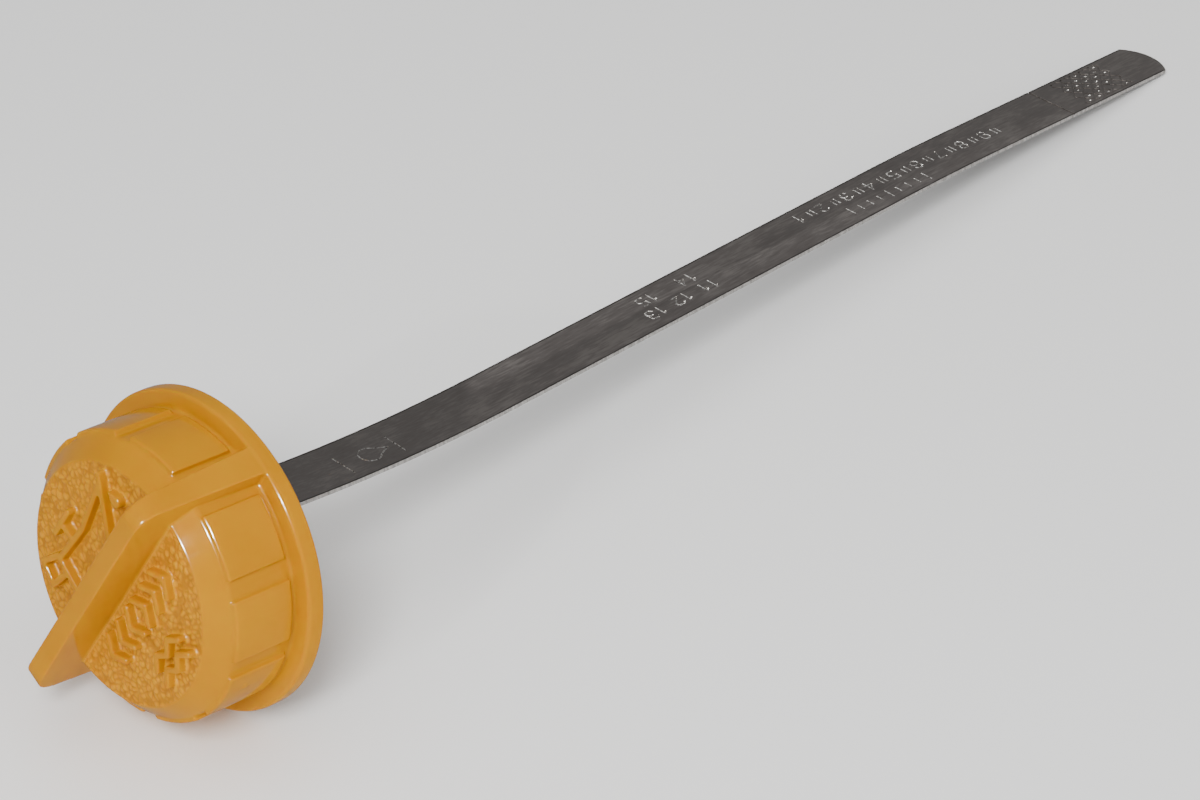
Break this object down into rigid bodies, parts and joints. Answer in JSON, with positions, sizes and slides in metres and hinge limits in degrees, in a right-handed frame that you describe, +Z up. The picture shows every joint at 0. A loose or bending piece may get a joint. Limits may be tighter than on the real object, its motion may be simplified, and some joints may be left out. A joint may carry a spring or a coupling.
{
  "type": "engine oil dipstick with filler cap",
  "caption": "Engine oil dipstick: a moulded quarter-turn filler cap with a straight bar handle and a flat steel blade with level marks.",
  "frame": {"origin": "middle of the bounding box on the surface the dipstick lies on", "axes": "+X along the blade towards its tip, +Y across the blade, +Z up; the cap's flange edge and the blade's tip rest on Z = 0"},
  "size_m": [0.2314, 0.047, 0.0469],
  "materials": {
    "cap_plastic": "glossy amber yellow moulded plastic with a grained front face",
    "ring_rubber": "matt black oil-resistant rubber",
    "blade_steel": "dark rolled spring steel with bright stamped marks",
    "pin_steel": "bright drawn steel"
  },
  "bodies": {
    "root": {"cap": "cap_plastic", "seal_ring": "ring_rubber", "blade": "blade_steel", "blade_pin": "pin_steel"}
  },
  "joints": []
}
